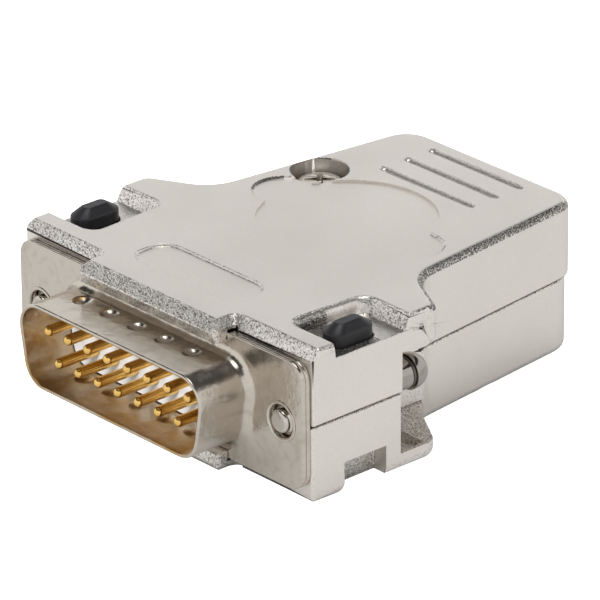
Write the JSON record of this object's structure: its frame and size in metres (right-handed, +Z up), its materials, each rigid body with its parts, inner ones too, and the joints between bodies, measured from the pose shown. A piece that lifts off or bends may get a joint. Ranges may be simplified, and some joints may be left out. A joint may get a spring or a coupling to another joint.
{
  "type": "d-sub connector",
  "caption": "Plug-type D-sub connector in a straight two-half die-cast metal hood with captive jackscrews, press buttons and a rear cable outlet.",
  "frame": {"origin": "centre of the D in the front plane of the flange, which is also on the plane where the hood halves part", "axes": "+X along the rows of contacts, -Y the mating direction, +Z up through the wide side of the D"},
  "size_m": [0.0398, 0.048, 0.0156],
  "materials": {
    "cast_nickel": "satin nickel plate on zinc die-casting",
    "plated_sheet": "bright nickel plate on drawn steel",
    "bright_steel": "polished nickel plate",
    "dark_steel": "dark oiled steel",
    "gold": "polished gold plate",
    "insulator": "moulded, fine matt",
    "black_plastic": "moulded, satin"
  },
  "bodies": {
    "hood": {"upper_shell": "cast_nickel", "lower_shell": "cast_nickel", "front_shell": "plated_sheet", "rear_shell": "plated_sheet", "front_insulator": "insulator", "rear_insulator": "insulator", "button_spring_left": "dark_steel", "button_spring_right": "dark_steel", "hood_screw_upper": "bright_steel", "hood_screw_lower": "bright_steel", "cable_clamp": "cast_nickel", "clamp_screw_left": "bright_steel", "clamp_screw_right": "bright_steel", "pin_01": "gold", "pin_02": "gold", "pin_03": "gold", "pin_04": "gold", "pin_05": "gold", "pin_06": "gold", "pin_07": "gold", "pin_08": "gold", "pin_09": "gold", "pin_10": "gold", "pin_11": "gold", "pin_12": "gold", "pin_13": "gold", "pin_14": "gold", "pin_15": "gold"},
    "washer_left": {"screw_washer_left": "dark_steel"},
    "jackscrew_left": {"jackscrew_left": "bright_steel"},
    "button_left": {"release_button_left": "black_plastic"},
    "washer_right": {"screw_washer_right": "dark_steel"},
    "jackscrew_right": {"jackscrew_right": "bright_steel"},
    "button_right": {"release_button_right": "black_plastic"}
  },
  "joints": [
    {"name": "jackscrew_left_float", "type": "slide", "parent": "hood", "child": "washer_left", "axis": [0, -1, 0], "range_m": [0, 0.003]},
    {"name": "jackscrew_left_turn", "type": "hinge", "parent": "washer_left", "child": "jackscrew_left", "pos_m": [-0.01666, 0, 0], "axis": [0, -1, 0], "continuous": true},
    {"name": "button_left_press", "type": "slide", "parent": "hood", "child": "button_left", "axis": [0, 0, -1], "range_m": [0, 0.001], "stiffness_N_per_m": 600, "deforming": ["button_spring_left"]},
    {"name": "jackscrew_right_float", "type": "slide", "parent": "hood", "child": "washer_right", "axis": [0, -1, 0], "range_m": [0, 0.003]},
    {"name": "jackscrew_right_turn", "type": "hinge", "parent": "washer_right", "child": "jackscrew_right", "pos_m": [0.01666, 0, 0], "axis": [0, -1, 0], "continuous": true},
    {"name": "button_right_press", "type": "slide", "parent": "hood", "child": "button_right", "axis": [0, 0, -1], "range_m": [0, 0.001], "stiffness_N_per_m": 600, "deforming": ["button_spring_right"]}
  ]
}
